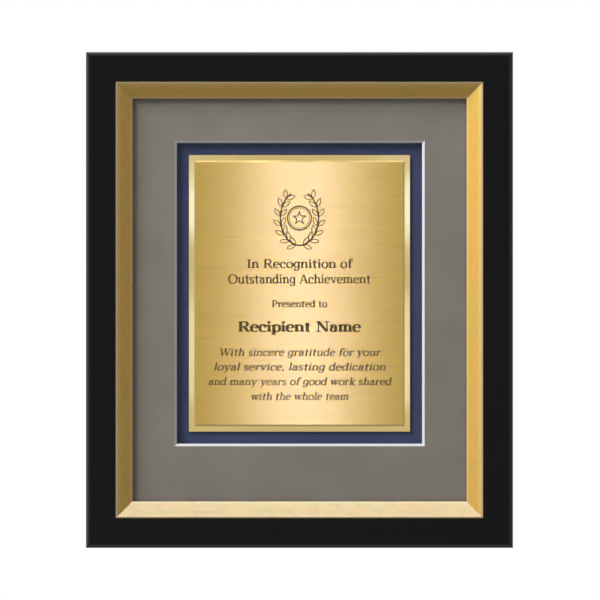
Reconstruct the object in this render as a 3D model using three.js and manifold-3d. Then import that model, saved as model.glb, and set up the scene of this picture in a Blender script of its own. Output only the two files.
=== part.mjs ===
// A framed award plaque: a mitred black wooden frame with gilded inner slips, glazing, a bevelled mat,
// a navy lower mat carrying a two-layer brass plate, and a backing board held in by turn buttons.
// It hangs on two D-ring hangers. Millimetres, +Z up, the front looks along -Y, the wall is the plane y = 0,
// and x = z = 0 is the middle of the frame.
import * as THREE from 'three';
import { mergeVertices } from 'three/addons/utils/BufferGeometryUtils.js';
import Module from 'manifold-3d';

const wasm = await Module();
wasm.setup();

// ---- Driving dimensions ----

// Award plate
const PLATE_WIDTH = 203.2;
const PLATE_HEIGHT = 254;
const PLATE_BASE_THICKNESS = 1;
const PLATE_BORDER = 5.2; // polished base that shows around the engraved plate
const ENGRAVED_THICKNESS = 1;
const ENGRAVED_CHAMFER = 0.6;
const TAPE_THICKNESS = 0.8;
const TAPE_WIDTH = 19;
const TAPE_INSET = 18; // from the plate's edges to the tape

// Mats
const NAVY_REVEAL = 10.8; // navy that shows between the plate and the window
const MAT_THICKNESS = 2.3;
const MAT_BORDER = 38.1; // what shows of the mat at the top and the sides
const MAT_BORDER_BOTTOM = 50.3;
const LOWER_MAT_THICKNESS = 1.5;
const SPACER_THICKNESS = 5;
const SPACER_WIDTH = 20;

// Frame
const BLACK_FACE = 27.2;
const GOLD_FACE = 15.4;
const LIP = 6.5; // how far the slip covers the glazing
const OUTER_ROUND = 2.6;
const INNER_ARRIS = 0.4;
const SLIP_BEAD = 1.8; // width of the gentler slope along the slip's outer edge
const SLIP_BEAD_FALL = 0.45;
const SLIP_BEAD_ARRIS = 0.3;
const SLIP_PROUD = 0.6; // how far the bead stands above the black face
const SLIP_DROP = 9; // from the black face down to the sight edge
const SLIP_NOSE = 0.8; // round of the sight edge
const SLIP_LIP_THICKNESS = 2.5;
const GLASS_THICKNESS = 2;
const BACKING_THICKNESS = 3;
const BACKING_INSET = 0.4; // the backing lies this far below the frame's back

// Corner nails
const NAIL_WING = 5;
const NAIL_SWEEP = 3.2;
const NAIL_THICKNESS = 1;
const NAIL_HEIGHT = 10;
const NAIL_INSET = 0.5;
const NAIL_PLACES = { outer: 12, inner: 29 }; // along the mitre, from the outer corner

// Turn buttons
const BUTTON_THICKNESS = 1.2;
const BUTTON_ROUND = 5.5;
const BUTTON_TIP_ROUND = 3.6;
const BUTTON_REACH = 18.2; // from the screw to the tip's own centre
const BUTTON_FROM_REBATE = 11.6; // from the rebate wall out to the screw
const BUTTON_SPREAD_ACROSS = 95; // each side of the middle, on the top and bottom rails
const BUTTON_SPREAD_UPRIGHT = 138; // each side of the middle, on the left and right rails

// Screws, with a pan head and a cross recess
const SCREW_RADIUS = 1.75;
const SCREW_LENGTH = 11;
const SCREW_POINT = 3.5;
const SCREW_HEAD_RADIUS = 3.5;
const SCREW_HEAD_RIM = 0.7;
const SCREW_HEAD_HEIGHT = 2.1;
const RECESS_LENGTH = 3.8;
const RECESS_WIDTH = 0.9;
const RECESS_DEPTH = 1.2;

// D-ring hangers
const RING_WIRE_RADIUS = 1.25;
const RING_HALF_WIDTH = 8;
const RING_LEG = 5;
const RING_CORNER = 2.2;
const STRAP_GAUGE = 1; // one layer of the folded strip
const STRAP_WIDTH = 11;
const STRAP_TO_SCREW = 19.6; // from the ring's bar to the screw
const STRAP_TAIL = 5.5; // from the screw to the strap's end
const STRAP_FROM_REBATE = 6; // from the rebate wall out to the ring's bar
const HANGER_DROP = 150; // from the frame's top edge down to the hangers

// Wall bumpers
const BUMPER_RADIUS = 6;
const BUMPER_WAIST = 5; // radius of the flat that meets the wall
const BUMPER_FROM_SIDE = 48;
const BUMPER_FROM_BOTTOM = 15;

// Clearances
const LAYER_GAP = 0.1; // between stacked sheets
const PACK_CLEARANCE = 1.2; // between the stack's edge and the rebate wall
const MITRE_SEAM = 0.1;
const SLIP_SEAM = 0.1;
const NAIL_CLEARANCE = 0.3;
const SCREW_CLEARANCE = 0.15; // around a shank in wood
const PIVOT_CLEARANCE = 0.25; // around a shank or a bar that something turns on
const TURNING_GAP = 0.1; // above and below a turn button
const WALL_CLEARANCE = 0.4; // between the hangers and the wall

// Smoothness
const ARC_STEPS = 6;
const ROUND_STEPS = 20;
const RING_STEPS = 44;
const RING_SIDES = 8;

// ---- Worked-out sizes ----

const windowWidth = PLATE_WIDTH + 2 * NAVY_REVEAL;
const windowHeight = PLATE_HEIGHT + 2 * NAVY_REVEAL;
const sightWidth = windowWidth + 2 * (MAT_THICKNESS + MAT_BORDER);
const sightHeight = windowHeight + 2 * MAT_THICKNESS + MAT_BORDER + MAT_BORDER_BOTTOM;
const faceWidth = BLACK_FACE + GOLD_FACE;
const frameWidth = sightWidth + 2 * faceWidth;
const frameHeight = sightHeight + 2 * faceWidth;
const plateRise = (MAT_BORDER_BOTTOM - MAT_BORDER) / 2; // the mat is heavier at the bottom

const rebate = faceWidth - LIP; // the rebate wall, from the frame's outer edge
const packWidth = sightWidth + 2 * (LIP - PACK_CLEARANCE);
const packHeight = sightHeight + 2 * (LIP - PACK_CLEARANCE);

// Depths, forward from the frame's back
const backingBack = BACKING_INSET;
const lowerMatBack = backingBack + BACKING_THICKNESS + LAYER_GAP;
const lowerMatFront = lowerMatBack + LOWER_MAT_THICKNESS;
const tapeBack = lowerMatFront + LAYER_GAP;
const plateBaseBack = tapeBack + TAPE_THICKNESS + LAYER_GAP;
const engravedBack = plateBaseBack + PLATE_BASE_THICKNESS + LAYER_GAP;
const spacerBack = lowerMatFront + LAYER_GAP;
const matBack = spacerBack + SPACER_THICKNESS + LAYER_GAP;
const glassBack = matBack + MAT_THICKNESS + LAYER_GAP;
const slipBack = glassBack + GLASS_THICKNESS + LAYER_GAP;
const frontFace = slipBack + SLIP_LIP_THICKNESS + SLIP_DROP;

// Heights of the hangers, behind the frame's back
const loopInner = RING_WIRE_RADIUS + PIVOT_CLEARANCE;
const loopOuter = loopInner + STRAP_GAUGE;
const ringBarHeight = loopOuter + TURNING_GAP;
const bumperHeight = ringBarHeight + loopOuter + WALL_CLEARANCE;

// ---- Helpers ----

const finish = (color, roughness, metalness) => new THREE.MeshStandardMaterial({ color, roughness, metalness });

const blackLacquer = finish(0x1b1c1e, 0.45, 0);
const gilding = finish(0xc99a45, 0.35, 1);
const taupeMat = finish(0x7c776c, 0.95, 0);
const navyMat = finish(0x333b5c, 0.9, 0);
const brightBrass = finish(0xdcb663, 0.15, 1);
const brushedBrass = finish(0xd9b262, 0.35, 1);
const clearGlass = finish(0xf2f7f5, 0.03, 0);
const whiteFoam = finish(0xf0efea, 0.9, 0);
const hardboard = finish(0x7a5a3c, 0.8, 0);
const zincSteel = finish(0xb9bcc0, 0.35, 1);
const blackRubber = finish(0x2a2a2c, 0.8, 0);

function named(name, geometry, material) {
  const mesh = new THREE.Mesh(geometry, material);
  mesh.name = name;
  return mesh;
}

function toSolid(geometry) {
  const bare = new THREE.BufferGeometry().setAttribute('position', geometry.getAttribute('position'));
  bare.setIndex(geometry.index);
  const merged = mergeVertices(bare, 1e-4);
  return new wasm.Manifold(new wasm.Mesh({
    numProp: 3,
    vertProperties: merged.attributes.position.array,
    triVerts: new Uint32Array(merged.index.array),
  }));
}

function toGeometry(solid) {
  const mesh = solid.getMesh();
  return new THREE.BufferGeometry()
    .setAttribute('position', new THREE.BufferAttribute(mesh.vertProperties, mesh.numProp))
    .setIndex(new THREE.BufferAttribute(mesh.triVerts, 1));
}

function cut(geometry, tools) {
  const solid = tools.reduce((rest, tool) => rest.subtract(toSolid(tool)), toSolid(geometry));
  return toGeometry(solid);
}

function rectangle(width, height) {
  return new THREE.Shape([
    new THREE.Vector2(-width / 2, -height / 2),
    new THREE.Vector2(width / 2, -height / 2),
    new THREE.Vector2(width / 2, height / 2),
    new THREE.Vector2(-width / 2, height / 2),
  ]);
}

// Extrudes a shape drawn in X and Z towards the front, from its back face at y = 0.
function forward(shape, thickness, options = {}) {
  const geometry = new THREE.ExtrudeGeometry(shape, {
    depth: thickness,
    bevelEnabled: false,
    curveSegments: ROUND_STEPS / 2,
    ...options,
  });
  return geometry.rotateX(Math.PI / 2);
}

// A plain sheet whose back is `depth` in front of the frame's back.
function sheet(name, width, height, thickness, depth, material) {
  const mesh = named(name, forward(rectangle(width, height), thickness), material);
  mesh.position.y = -depth;
  return mesh;
}

// A round hole through y, as a tool for cut().
function drill(radius, x, z, from, to) {
  const geometry = new THREE.CylinderGeometry(radius, radius, to - from, ROUND_STEPS);
  return geometry.translate(x, (from + to) / 2, z);
}

// ---- Frame ----

// A profile (u inward from the outer edge, d forward from the back) run along X with mitred ends.
function mitred(profile, span) {
  const geometry = new THREE.ExtrudeGeometry(profile, {
    depth: 1,
    bevelEnabled: false,
    curveSegments: ARC_STEPS,
  });
  const position = geometry.attributes.position;
  for (let i = 0; i < position.count; i++) {
    const u = position.getX(i);
    const d = position.getY(i);
    const end = position.getZ(i) < 0.5 ? -1 : 1;
    position.setXYZ(i, end * (span / 2 - u - MITRE_SEAM), -d, u);
  }
  return geometry;
}

function railProfile() {
  const shape = new THREE.Shape();
  shape.moveTo(0, 0);
  shape.lineTo(rebate, 0);
  shape.lineTo(rebate, slipBack);
  shape.lineTo(BLACK_FACE, slipBack);
  shape.lineTo(BLACK_FACE, frontFace - INNER_ARRIS);
  shape.lineTo(BLACK_FACE - INNER_ARRIS, frontFace);
  shape.lineTo(OUTER_ROUND, frontFace);
  shape.absarc(OUTER_ROUND, frontFace - OUTER_ROUND, OUTER_ROUND, Math.PI / 2, Math.PI, false);
  shape.closePath();
  return shape;
}

function slipProfile() {
  const outer = BLACK_FACE + SLIP_SEAM;
  const crest = frontFace + SLIP_PROUD;
  const sight = slipBack + SLIP_LIP_THICKNESS;
  const shape = new THREE.Shape();
  shape.moveTo(outer, slipBack + LAYER_GAP);
  shape.lineTo(faceWidth, slipBack + LAYER_GAP);
  shape.lineTo(faceWidth, sight - SLIP_NOSE);
  shape.absarc(faceWidth - SLIP_NOSE, sight - SLIP_NOSE, SLIP_NOSE, 0, Math.PI / 3, false);
  shape.lineTo(outer + SLIP_BEAD, crest - SLIP_BEAD_FALL);
  shape.lineTo(outer + SLIP_BEAD_ARRIS, crest);
  shape.lineTo(outer, crest - SLIP_BEAD_ARRIS);
  shape.closePath();
  return shape;
}

// A chevron across the mitre; `grow` widens it to the slot that it is driven into.
function nailOutline(place, grow) {
  const half = NAIL_THICKNESS / 2 + grow;
  const wing = NAIL_WING + grow;
  const tip = place + NAIL_SWEEP * (wing / NAIL_WING);
  return new THREE.Shape([
    new THREE.Vector2(place - half, 0),
    new THREE.Vector2(tip - half, -wing),
    new THREE.Vector2(tip + half, -wing),
    new THREE.Vector2(place + half, 0),
    new THREE.Vector2(tip + half, wing),
    new THREE.Vector2(tip - half, wing),
  ]);
}

// The slots that one end of a rail has for its corner's nails; `end` is -1 or 1 along X.
function nailSlots(span, end) {
  return Object.values(NAIL_PLACES).map((place) => {
    const slot = forward(nailOutline(place, NAIL_CLEARANCE), NAIL_INSET + NAIL_HEIGHT + 2 * NAIL_CLEARANCE);
    slot.translate(0, NAIL_CLEARANCE, 0);
    slot.rotateY(end < 0 ? -Math.PI / 4 : (-3 * Math.PI) / 4);
    return slot.translate((end * span) / 2, 0, 0);
  });
}

function pilotHole(x, z) {
  return drill(SCREW_RADIUS + SCREW_CLEARANCE, x, z, -SCREW_LENGTH - LAYER_GAP, 1);
}

function cornerNails() {
  const group = new THREE.Group();
  const corners = [
    ['bottom_left', -1, -1, -Math.PI / 4],
    ['bottom_right', 1, -1, (-3 * Math.PI) / 4],
    ['top_right', 1, 1, (3 * Math.PI) / 4],
    ['top_left', -1, 1, Math.PI / 4],
  ];
  for (const [corner, right, up, turn] of corners) {
    const place = new THREE.Group();
    place.position.set((right * frameWidth) / 2, 0, (up * frameHeight) / 2);
    place.rotation.y = turn;
    for (const [which, along] of Object.entries(NAIL_PLACES)) {
      const nail = named(`corner_nail_${corner}_${which}`, forward(nailOutline(along, 0), NAIL_HEIGHT), zincSteel);
      nail.position.y = -NAIL_INSET;
      place.add(nail);
    }
    group.add(place);
  }
  return group;
}

// ---- Screws and turn buttons ----

// The head rests at y = 0 and points to +Y; the shank runs to -Y.
function screwGeometry() {
  const domeRise = SCREW_HEAD_HEIGHT - SCREW_HEAD_RIM;
  const profile = [
    new THREE.Vector2(0, -SCREW_LENGTH),
    new THREE.Vector2(SCREW_RADIUS, SCREW_POINT - SCREW_LENGTH),
    new THREE.Vector2(SCREW_RADIUS, 0),
    new THREE.Vector2(SCREW_HEAD_RADIUS, 0),
  ];
  for (let i = 0; i < ARC_STEPS; i++) {
    const angle = (i / ARC_STEPS) * (Math.PI / 2);
    profile.push(new THREE.Vector2(
      SCREW_HEAD_RADIUS * Math.cos(angle),
      SCREW_HEAD_RIM + domeRise * Math.sin(angle),
    ));
  }
  profile.push(new THREE.Vector2(0, SCREW_HEAD_HEIGHT));
  const recess = [[RECESS_LENGTH, RECESS_WIDTH], [RECESS_WIDTH, RECESS_LENGTH]].map(([x, z]) => (
    new THREE.BoxGeometry(x, 2 * RECESS_DEPTH, z).translate(0, SCREW_HEAD_HEIGHT, 0)
  ));
  return cut(new THREE.LatheGeometry(profile, ROUND_STEPS), recess);
}

// A tab with a round end on the screw and a smaller round tip, pointing inward (+Z).
function buttonGeometry() {
  const tangent = Math.acos((BUTTON_ROUND - BUTTON_TIP_ROUND) / BUTTON_REACH);
  const shape = new THREE.Shape();
  shape.absarc(0, 0, BUTTON_ROUND, Math.PI / 2 + tangent, 2.5 * Math.PI - tangent, false);
  shape.absarc(0, BUTTON_REACH, BUTTON_TIP_ROUND, Math.PI / 2 - tangent, Math.PI / 2 + tangent, false);
  shape.closePath();
  const hole = new THREE.Path();
  hole.absarc(0, 0, SCREW_RADIUS + PIVOT_CLEARANCE, 0, 2 * Math.PI, true);
  shape.holes.push(hole);
  return forward(shape, BUTTON_THICKNESS).translate(0, BUTTON_THICKNESS, 0);
}

function turnButton(name, x) {
  const group = new THREE.Group();
  group.position.set(x, 0, rebate - BUTTON_FROM_REBATE);
  const button = named(`turn_button_${name}`, buttonGeometry(), zincSteel);
  button.position.y = TURNING_GAP;
  const screw = named(`button_screw_${name}`, screwGeometry(), zincSteel);
  screw.position.y = BUTTON_THICKNESS + 2 * TURNING_GAP;
  group.add(button, screw);
  return group;
}

// ---- D-ring hangers ----

// A folded strip: a loop around the ring's bar and a double tail with the screw hole.
// Its bar runs along X at z = 0 and the tail runs outward, to -Z.
function strapGeometry() {
  const tailEnd = -(STRAP_TO_SCREW + STRAP_TAIL);
  const tailTop = 2 * STRAP_GAUGE;
  const meet = Math.PI + Math.asin((loopOuter - tailTop) / loopOuter);
  const section = new THREE.Shape();
  section.moveTo(tailEnd, 0);
  section.lineTo(0, 0);
  section.absarc(0, loopOuter, loopOuter, -Math.PI / 2, meet, false);
  section.lineTo(tailEnd, tailTop);
  section.closePath();
  const eye = new THREE.Path();
  eye.absarc(0, loopOuter, loopInner, 0, 2 * Math.PI, true);
  section.holes.push(eye);
  const strip = new THREE.ExtrudeGeometry(section, {
    depth: STRAP_WIDTH,
    bevelEnabled: false,
    curveSegments: ROUND_STEPS / 2,
  });
  strip.translate(0, 0, -STRAP_WIDTH / 2).rotateY(-Math.PI / 2);

  const half = STRAP_WIDTH / 2;
  const plan = new THREE.Shape();
  plan.moveTo(half, loopOuter + 1);
  plan.lineTo(-half, loopOuter + 1);
  plan.lineTo(-half, tailEnd + half);
  plan.absarc(0, tailEnd + half, half, Math.PI, 2 * Math.PI, false);
  plan.closePath();
  const outline = forward(plan, 4 * loopOuter).translate(0, 3 * loopOuter, 0);
  const rounded = toSolid(strip).intersect(toSolid(outline));
  const hole = drill(SCREW_RADIUS + PIVOT_CLEARANCE, 0, -STRAP_TO_SCREW, -1, tailTop + 1);
  return toGeometry(rounded.subtract(toSolid(hole)));
}

// A D of wire whose straight bar lies along X at the origin and whose bow points inward (+Z).
function ringGeometry() {
  const half = RING_HALF_WIDTH;
  const outline = new THREE.Path();
  outline.moveTo(0, 0);
  outline.lineTo(half - RING_CORNER, 0);
  outline.absarc(half - RING_CORNER, RING_CORNER, RING_CORNER, -Math.PI / 2, 0, false);
  outline.lineTo(half, RING_LEG);
  outline.absarc(0, RING_LEG, half, 0, Math.PI, false);
  outline.lineTo(-half, RING_CORNER);
  outline.absarc(-half + RING_CORNER, RING_CORNER, RING_CORNER, Math.PI, 1.5 * Math.PI, false);
  outline.lineTo(0, 0);
  const points = outline.getSpacedPoints(RING_STEPS).slice(0, -1);
  const centreline = new THREE.CatmullRomCurve3(points.map((p) => new THREE.Vector3(p.x, 0, p.y)), true);
  return new THREE.TubeGeometry(centreline, RING_STEPS, RING_WIRE_RADIUS, RING_SIDES, true);
}

function hanger(side, x) {
  const group = new THREE.Group();
  group.position.set(x, 0, rebate - STRAP_FROM_REBATE);
  const strap = named(`hanger_strap_${side}`, strapGeometry(), zincSteel);
  strap.position.y = TURNING_GAP;
  const ring = named(`hanger_ring_${side}`, ringGeometry(), zincSteel);
  ring.position.y = ringBarHeight;
  const screw = named(`hanger_screw_${side}`, screwGeometry(), zincSteel);
  screw.position.set(0, 2 * STRAP_GAUGE + 2 * TURNING_GAP, -STRAP_TO_SCREW);
  group.add(strap, ring, screw);
  return group;
}

// ---- The four sides ----

const buttonLine = rebate - BUTTON_FROM_REBATE;
const hangerScrewLine = rebate - STRAP_FROM_REBATE - STRAP_TO_SCREW;
const hangerHeight = frameHeight / 2 - HANGER_DROP;

// Each side is built along X with its outer edge at z = 0 and turned into place. Its buttons are
// listed as [name, place along X], and its hanger, if it has one, as a place along X.
function frameSide({ name, span, buttons, hangerPlace }) {
  const group = new THREE.Group();
  const holes = buttons.map(([, x]) => pilotHole(x, buttonLine));
  if (hangerPlace !== undefined) {
    holes.push(pilotHole(hangerPlace, hangerScrewLine));
    group.add(hanger(name, hangerPlace));
  }
  const slots = [...nailSlots(span, -1), ...nailSlots(span, 1)];
  group.add(named(`${name}_rail`, cut(mitred(railProfile(), span), [...slots, ...holes]), blackLacquer));
  group.add(named(`gold_slip_${name}`, mitred(slipProfile(), span), gilding));
  for (const [button, x] of buttons) group.add(turnButton(button, x));
  return group;
}

function frame() {
  const group = new THREE.Group();
  const across = BUTTON_SPREAD_ACROSS;
  const upright = BUTTON_SPREAD_UPRIGHT;

  const bottom = frameSide({
    name: 'bottom',
    span: frameWidth,
    buttons: [['bottom_left', -across], ['bottom_right', across]],
  });
  bottom.position.z = -frameHeight / 2;

  const top = frameSide({
    name: 'top',
    span: frameWidth,
    buttons: [['top_left', across], ['top_right', -across]],
  });
  top.position.z = frameHeight / 2;
  top.rotation.y = Math.PI;

  const left = frameSide({
    name: 'left',
    span: frameHeight,
    buttons: [['left_upper', -upright], ['left_lower', upright]],
    hangerPlace: -hangerHeight,
  });
  left.position.x = -frameWidth / 2;
  left.rotation.y = Math.PI / 2;

  const right = frameSide({
    name: 'right',
    span: frameHeight,
    buttons: [['right_upper', upright], ['right_lower', -upright]],
    hangerPlace: hangerHeight,
  });
  right.position.x = frameWidth / 2;
  right.rotation.y = -Math.PI / 2;

  group.add(bottom, top, left, right, cornerNails());
  return group;
}

// ---- Glazing, mats and backing ----

function glazing() {
  return sheet('glazing', packWidth, packHeight, GLASS_THICKNESS, glassBack, clearGlass);
}

// The mat's window is cut at 45 degrees, so it is wider at the front by the mat's thickness.
function topMat() {
  const shape = rectangle(packWidth, packHeight);
  const opening = rectangle(windowWidth, windowHeight).getPoints();
  shape.holes.push(new THREE.Path(opening.map((p) => new THREE.Vector2(p.x, p.y + plateRise))));
  const geometry = forward(shape, MAT_THICKNESS);
  const position = geometry.attributes.position;
  for (let i = 0; i < position.count; i++) {
    const x = position.getX(i);
    const z = position.getZ(i) - plateRise;
    const onWindow = Math.abs(x) < windowWidth / 2 + 1 && Math.abs(z) < windowHeight / 2 + 1;
    if (onWindow && position.getY(i) < -MAT_THICKNESS / 2) {
      position.setX(i, x + Math.sign(x) * MAT_THICKNESS);
      position.setZ(i, z + Math.sign(z) * MAT_THICKNESS + plateRise);
    }
  }
  const mesh = named('top_mat', geometry, taupeMat);
  mesh.position.y = -matBack;
  return mesh;
}

function matSpacers() {
  const group = new THREE.Group();
  const strip = (name, width, height, x, z) => {
    const mesh = sheet(`mat_spacer_${name}`, width, height, SPACER_THICKNESS, spacerBack, whiteFoam);
    mesh.position.x = x;
    mesh.position.z = z;
    group.add(mesh);
  };
  const inset = SPACER_WIDTH / 2;
  const between = packHeight - 2 * (SPACER_WIDTH + LAYER_GAP);
  strip('top', packWidth, SPACER_WIDTH, 0, packHeight / 2 - inset);
  strip('bottom', packWidth, SPACER_WIDTH, 0, inset - packHeight / 2);
  strip('left', SPACER_WIDTH, between, inset - packWidth / 2, 0);
  strip('right', SPACER_WIDTH, between, packWidth / 2 - inset, 0);
  return group;
}

function lowerMat() {
  return sheet('lower_mat', packWidth, packHeight, LOWER_MAT_THICKNESS, lowerMatBack, navyMat);
}

function backingBoard() {
  return sheet('backing_board', packWidth, packHeight, BACKING_THICKNESS, backingBack, hardboard);
}

// ---- Award plate ----

function plateTapes() {
  const group = new THREE.Group();
  for (const [name, side] of [['left', -1], ['right', 1]]) {
    const height = PLATE_HEIGHT - 2 * TAPE_INSET;
    const tape = sheet(`plate_tape_${name}`, TAPE_WIDTH, height, TAPE_THICKNESS, tapeBack, whiteFoam);
    tape.position.x = side * (PLATE_WIDTH / 2 - TAPE_INSET - TAPE_WIDTH / 2);
    group.add(tape);
  }
  return group;
}

// A sheet whose front edges are chamfered at 45 degrees.
function engravedPlate() {
  const width = PLATE_WIDTH - 2 * PLATE_BORDER;
  const height = PLATE_HEIGHT - 2 * PLATE_BORDER;
  const geometry = forward(rectangle(width, height), 1, { steps: 2 });
  const position = geometry.attributes.position;
  for (let i = 0; i < position.count; i++) {
    const share = -position.getY(i);
    if (share > 0.75) {
      position.setX(i, position.getX(i) - Math.sign(position.getX(i)) * ENGRAVED_CHAMFER);
      position.setZ(i, position.getZ(i) - Math.sign(position.getZ(i)) * ENGRAVED_CHAMFER);
      position.setY(i, -ENGRAVED_THICKNESS);
    } else if (share > 0.25) {
      position.setY(i, ENGRAVED_CHAMFER - ENGRAVED_THICKNESS);
    }
  }
  const mesh = named('engraved_plate', geometry, brushedBrass);
  mesh.position.y = -engravedBack;
  return mesh;
}

function awardPlate() {
  const group = new THREE.Group();
  group.position.z = plateRise;
  group.add(plateTapes());
  group.add(sheet('plate_base', PLATE_WIDTH, PLATE_HEIGHT, PLATE_BASE_THICKNESS, plateBaseBack, brightBrass));
  group.add(engravedPlate());
  return group;
}

// ---- Wall bumpers ----

function bumpers() {
  const group = new THREE.Group();
  const profile = [
    new THREE.Vector2(0, LAYER_GAP),
    new THREE.Vector2(BUMPER_RADIUS, LAYER_GAP),
    new THREE.Vector2(BUMPER_RADIUS, bumperHeight / 2),
    new THREE.Vector2(BUMPER_WAIST, bumperHeight),
    new THREE.Vector2(0, bumperHeight),
  ];
  for (const [name, side] of [['left', -1], ['right', 1]]) {
    const bumper = named(`wall_bumper_${name}`, new THREE.LatheGeometry(profile, ROUND_STEPS), blackRubber);
    bumper.position.x = side * (frameWidth / 2 - BUMPER_FROM_SIDE);
    bumper.position.z = BUMPER_FROM_BOTTOM - frameHeight / 2;
    group.add(bumper);
  }
  return group;
}

// ---- Assembly ----

const plaque = new THREE.Group();
plaque.position.y = -bumperHeight; // the bumpers' ends lie in the wall's plane
plaque.add(frame(), glazing(), topMat(), matSpacers(), lowerMat(), awardPlate(), backingBoard(), bumpers());

const assembly = new THREE.Group();
assembly.add(plaque);
export default assembly;
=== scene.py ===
import math

import bmesh
import bpy
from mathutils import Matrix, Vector


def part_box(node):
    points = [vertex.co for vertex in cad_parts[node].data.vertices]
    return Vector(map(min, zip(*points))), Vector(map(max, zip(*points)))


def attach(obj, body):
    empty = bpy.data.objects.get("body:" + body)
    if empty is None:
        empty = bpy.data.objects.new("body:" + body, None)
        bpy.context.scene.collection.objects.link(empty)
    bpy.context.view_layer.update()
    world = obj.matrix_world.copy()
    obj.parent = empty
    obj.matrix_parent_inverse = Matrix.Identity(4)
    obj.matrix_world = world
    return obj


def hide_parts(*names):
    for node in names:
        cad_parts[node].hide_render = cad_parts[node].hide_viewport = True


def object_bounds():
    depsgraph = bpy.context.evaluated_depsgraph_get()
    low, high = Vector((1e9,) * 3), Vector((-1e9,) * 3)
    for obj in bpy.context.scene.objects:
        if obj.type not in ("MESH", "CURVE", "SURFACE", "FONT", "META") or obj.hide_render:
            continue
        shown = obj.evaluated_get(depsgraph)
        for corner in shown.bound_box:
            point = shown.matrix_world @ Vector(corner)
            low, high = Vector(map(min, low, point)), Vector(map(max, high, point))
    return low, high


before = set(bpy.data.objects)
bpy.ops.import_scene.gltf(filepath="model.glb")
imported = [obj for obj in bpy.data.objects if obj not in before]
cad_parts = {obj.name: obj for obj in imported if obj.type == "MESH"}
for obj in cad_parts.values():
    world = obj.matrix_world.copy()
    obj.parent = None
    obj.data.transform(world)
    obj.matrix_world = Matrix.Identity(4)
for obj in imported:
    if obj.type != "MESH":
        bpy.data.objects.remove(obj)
cad_low, cad_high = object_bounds()

# A framed award plaque: black lacquered rails, gilded slips, mats and a brass plate, with its fittings
# at the back. Profiles and plans are drawn in millimetres; pieces are made in metres in the frame's places.

MM = 0.001

# ---- Driving sizes (mm) ----

OUTER_ROUND = 2.6  # the rails' front outer edge
INNER_ARRIS = 0.4
BACK_EASE = 0.6
BEAD_WIDTH = 1.8  # along the slip's outer edge
BEAD_FALL = 0.45
BEAD_ARRIS = 0.3
SLIP_NOSE = 1.1
SLIP_LIP = 2.5  # the slip's thickness over the glass
SLIP_GAP = 0.1  # between a rail and its slip
GLASS_GAP = 0.2
REBATE_ZONE = 20  # a rail's faces further in than this, behind its shoulder, line its rebate
MITRE_SEAM = 0.03  # to each side of the joint
NAVY_REVEAL = 10.8
PLATE_BORDER_EASE = 0.45
ENGRAVED_CHAMFER = 1.5
CHAMFER_DEPTH = 0.79
NAIL_CLEARANCE = 0.3
RING_WIRE = 1.25
RING_HALF_WIDTH = 8
RING_LEG = 5
RING_CORNER = 2.2
FOOT_EASE = 0.4
SHOULDER_ROUND = 1.2
SHOULDER_INSET = 1.4  # of the round's middle from the bumper's side
DISH_RIM = 3  # the hollow in the bumper's end
DISH_FLOOR = 2.4
DISH_DEPTH = 0.5

SIDES = ("bottom", "top", "left", "right")
BUTTONS = ("top_left", "top_right", "bottom_left", "bottom_right",
           "left_upper", "left_lower", "right_upper", "right_lower")
NAILS = [f"{corner}_{which}" for corner in ("bottom_left", "bottom_right", "top_right", "top_left")
         for which in ("outer", "inner")]

# ---- Places, from the frame ----

half_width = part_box("right_rail")[1].x
half_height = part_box("top_rail")[1].z
rail_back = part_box("bottom_rail")[1].y
rail_depth = rail_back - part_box("bottom_rail")[0].y


def from_edge(node):
    """How far the bottom piece's inner and outer sides lie from the frame's lower edge, in mm."""
    low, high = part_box(node)
    return (low.z + half_height) / MM, (high.z + half_height) / MM


def from_back(node):
    """How far a piece's back and front lie in front of the rails' back, in mm."""
    low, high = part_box(node)
    return (rail_back - high.y) / MM, (rail_back - low.y) / MM


# ---- Finishes ----


class Value:
    """A number from a node, for use in Python arithmetic. Each operation adds a Math node."""

    def __init__(self, finish, socket):
        self.finish = finish
        self.socket = socket

    def math(self, operation, *terms):
        settings = {"operation": operation}
        return self.finish.node("ShaderNodeMath", settings, dict(enumerate(terms)))

    def __add__(self, other):
        return self.math("ADD", self, other)

    def __sub__(self, other):
        return self.math("SUBTRACT", self, other)

    def __rsub__(self, other):
        return self.math("SUBTRACT", other, self)

    def __mul__(self, other):
        return self.math("MULTIPLY", self, other)

    def __pow__(self, other):
        return self.math("POWER", self, other)

    def over(self, low, high):
        """0 below low, 1 above high, and smooth between."""
        sockets = {"Value": self, "From Min": low, "From Max": high}
        return self.finish.node("ShaderNodeMapRange", {"interpolation_type": "SMOOTHSTEP"}, sockets)

    __radd__ = __add__
    __rmul__ = __mul__


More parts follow.
